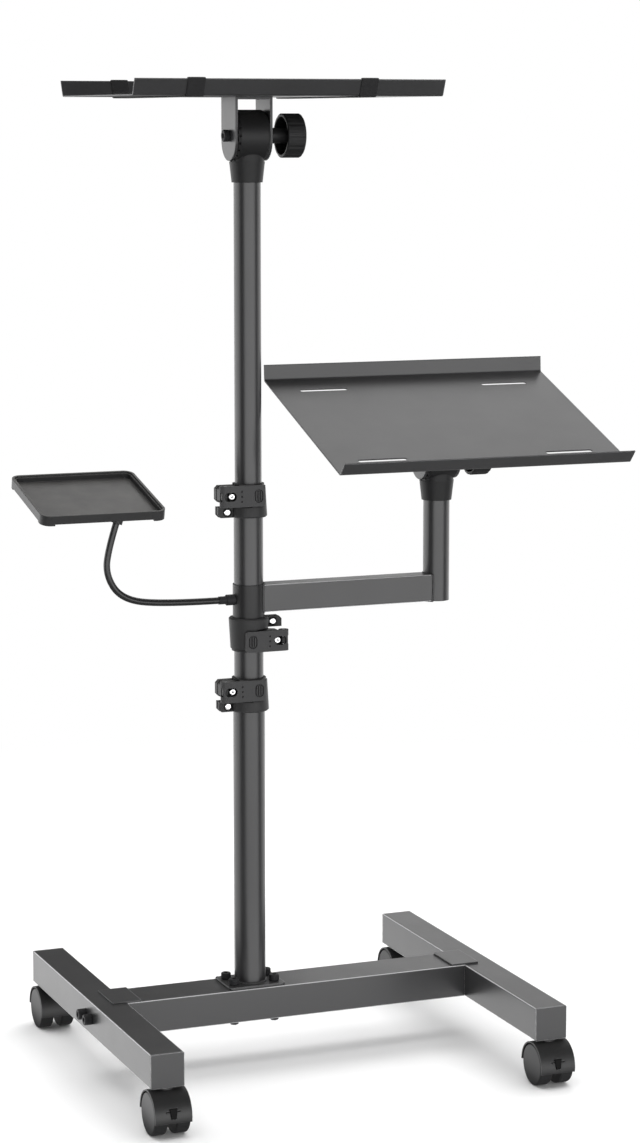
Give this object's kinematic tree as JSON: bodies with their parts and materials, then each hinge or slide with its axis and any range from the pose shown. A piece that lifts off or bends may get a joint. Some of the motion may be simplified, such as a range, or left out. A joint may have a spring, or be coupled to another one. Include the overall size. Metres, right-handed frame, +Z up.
{
  "type": "portable projector stand",
  "caption": "Rolling projector stand: telescopic column on a wheeled H base, tilting top tray, swing arm with a tilting laptop tray and a small dish on a gooseneck.",
  "frame": {"origin": "on the floor, under the middle of the outline", "axes": "+X to the right along the crossbar, towards the laptop arm; +Y to the back; +Z up"},
  "size_m": [0.6996, 0.4966, 1.1791],
  "materials": {
    "black_powder_coat": "satin",
    "black_moulding": "matte",
    "wheel_moulding": "satin",
    "bright_screw": "bright zinc",
    "black_bolt": "black oxide",
    "gooseneck_sheath": "satin"
  },
  "bodies": {
    "base": {"left_side_bar": "black_powder_coat", "right_side_bar": "black_powder_coat", "left_bar_end_caps": "black_moulding", "right_bar_end_caps": "black_moulding", "left_joint_plate": "black_powder_coat", "right_joint_plate": "black_powder_coat", "left_bar_bolts": "black_bolt", "right_bar_bolts": "black_bolt", "crossbar": "black_powder_coat", "column_base_plate": "black_powder_coat", "column_bolts": "black_bolt", "lower_tube": "black_powder_coat", "lower_clamp_collar": "black_moulding", "lower_clamp_screws": "bright_screw"},
    "lower_lever": {"lower_clamp_lever": "black_moulding"},
    "middle_stage": {"middle_tube": "black_powder_coat", "upper_clamp_collar": "black_moulding", "upper_clamp_screws": "bright_screw"},
    "upper_lever": {"upper_clamp_lever": "black_moulding"},
    "upper_stage": {"upper_tube": "black_powder_coat"},
    "projector_head": {"projector_tilt_head": "black_moulding"},
    "projector_platform": {"projector_tray": "black_powder_coat", "projector_tray_bracket": "black_powder_coat", "projector_pivot_bolt": "black_bolt"},
    "projector_knob": {"projector_tilt_knob": "black_moulding"},
    "arm_collar": {"arm_clamp_collar": "black_moulding", "arm_clamp_screws": "bright_screw"},
    "arm_lever": {"arm_clamp_lever": "black_moulding"},
    "arm": {"arm_sleeve": "black_powder_coat", "laptop_arm": "black_powder_coat", "laptop_riser": "black_powder_coat", "laptop_tilt_head": "black_moulding", "gooseneck_socket": "black_bolt", "gooseneck": "gooseneck_sheath", "remote_dish": "black_moulding"},
    "laptop_platform": {"laptop_tray": "black_powder_coat", "laptop_tray_bracket": "black_powder_coat", "laptop_pivot_bolt": "black_bolt"},
    "laptop_knob": {"laptop_tilt_knob": "black_moulding"},
    "front_left_caster": {"front_left_caster_hood": "black_moulding"},
    "front_left_wheels": {"front_left_caster_wheels": "wheel_moulding"},
    "front_left_brake": {"front_left_brake_lever": "black_moulding"},
    "front_right_caster": {"front_right_caster_hood": "black_moulding"},
    "front_right_wheels": {"front_right_caster_wheels": "wheel_moulding"},
    "front_right_brake": {"front_right_brake_lever": "black_moulding"},
    "rear_left_caster": {"rear_left_caster_hood": "black_moulding"},
    "rear_left_wheels": {"rear_left_caster_wheels": "wheel_moulding"},
    "rear_right_caster": {"rear_right_caster_hood": "black_moulding"},
    "rear_right_wheels": {"rear_right_caster_wheels": "wheel_moulding"}
  },
  "joints": [
    {"name": "middle_tube_slide", "type": "slide", "parent": "base", "child": "middle_stage", "axis": [0, 0, 1], "range_m": [-0.028, 0.075]},
    {"name": "upper_tube_slide", "type": "slide", "parent": "middle_stage", "child": "upper_stage", "axis": [0, 0, -1], "range_m": [-0.18, 0.3]},
    {"name": "arm_slide", "type": "slide", "parent": "middle_stage", "child": "arm_collar", "axis": [0, 0, -1], "range_m": [-0.076, 0.028]},
    {"name": "lower_lever_hinge", "type": "hinge", "parent": "base", "child": "lower_lever", "pos_m": [-0.12375, -0.01434, 0.46], "axis": [0, 0, -1], "range_deg": [0, 100]},
    {"name": "upper_lever_hinge", "type": "hinge", "parent": "middle_stage", "child": "upper_lever", "pos_m": [-0.12375, -0.01434, 0.694], "axis": [0, 0, -1], "range_deg": [0, 100]},
    {"name": "arm_lever_hinge", "type": "hinge", "parent": "arm_collar", "child": "arm_lever", "pos_m": [-0.04975, -0.01434, 0.519], "axis": [0, 0, 1], "range_deg": [0, 100]},
    {"name": "projector_swivel", "type": "hinge", "parent": "upper_stage", "child": "projector_head", "pos_m": [-0.08675, 0.00516, 1.115], "axis": [0, 0, 1], "continuous": true},
    {"name": "projector_tilt", "type": "hinge", "parent": "projector_head", "child": "projector_platform", "pos_m": [-0.08675, 0.00516, 1.115], "axis": [-1, 0, 0], "range_deg": [-30, 30]},
    {"name": "projector_knob_turn", "type": "hinge", "parent": "projector_platform", "child": "projector_knob", "pos_m": [-0.08675, 0.00516, 1.115], "axis": [1, 0, 0], "range_deg": [0, 360]},
    {"name": "arm_swivel", "type": "hinge", "parent": "arm_collar", "child": "arm", "pos_m": [-0.08675, 0.00516, 0.569], "axis": [0, 0, 1], "continuous": true},
    {"name": "laptop_tilt", "type": "hinge", "parent": "arm", "child": "laptop_platform", "pos_m": [0.15825, 0.00516, 0.73], "axis": [-1, 0, 0], "range_deg": [-10, 50]},
    {"name": "laptop_knob_turn", "type": "hinge", "parent": "laptop_platform", "child": "laptop_knob", "pos_m": [0.15825, 0.00516, 0.73], "axis": [1, 0, 0], "range_deg": [0, 360]},
    {"name": "front_left_caster_swivel", "type": "hinge", "parent": "base", "child": "front_left_caster", "pos_m": [-0.27275, -0.21484, 0.055], "axis": [0, 0, 1], "continuous": true},
    {"name": "front_left_wheels_roll", "type": "hinge", "parent": "front_left_caster", "child": "front_left_wheels", "pos_m": [-0.27275, -0.21934, 0.025], "axis": [1, 0, 0], "continuous": true},
    {"name": "front_left_brake_press", "type": "hinge", "parent": "front_left_caster", "child": "front_left_brake", "pos_m": [-0.27275, -0.24507, 0.03282], "axis": [1, 0, 0], "range_deg": [0, 10]},
    {"name": "front_right_caster_swivel", "type": "hinge", "parent": "base", "child": "front_right_caster", "pos_m": [0.20725, -0.21484, 0.055], "axis": [0, 0, 1], "continuous": true},
    {"name": "front_right_wheels_roll", "type": "hinge", "parent": "front_right_caster", "child": "front_right_wheels", "pos_m": [0.20725, -0.21934, 0.025], "axis": [1, 0, 0], "continuous": true},
    {"name": "front_right_brake_press", "type": "hinge", "parent": "front_right_caster", "child": "front_right_brake", "pos_m": [0.20725, -0.24507, 0.03282], "axis": [1, 0, 0], "range_deg": [0, 10]},
    {"name": "rear_left_caster_swivel", "type": "hinge", "parent": "base", "child": "rear_left_caster", "pos_m": [-0.27275, 0.22516, 0.055], "axis": [0, 0, 1], "continuous": true},
    {"name": "rear_left_wheels_roll", "type": "hinge", "parent": "rear_left_caster", "child": "rear_left_wheels", "pos_m": [-0.27275, 0.22066, 0.025], "axis": [1, 0, 0], "continuous": true},
    {"name": "rear_right_caster_swivel", "type": "hinge", "parent": "base", "child": "rear_right_caster", "pos_m": [0.20725, 0.22516, 0.055], "axis": [0, 0, 1], "continuous": true},
    {"name": "rear_right_wheels_roll", "type": "hinge", "parent": "rear_right_caster", "child": "rear_right_wheels", "pos_m": [0.20725, 0.22066, 0.025], "axis": [1, 0, 0], "continuous": true}
  ]
}
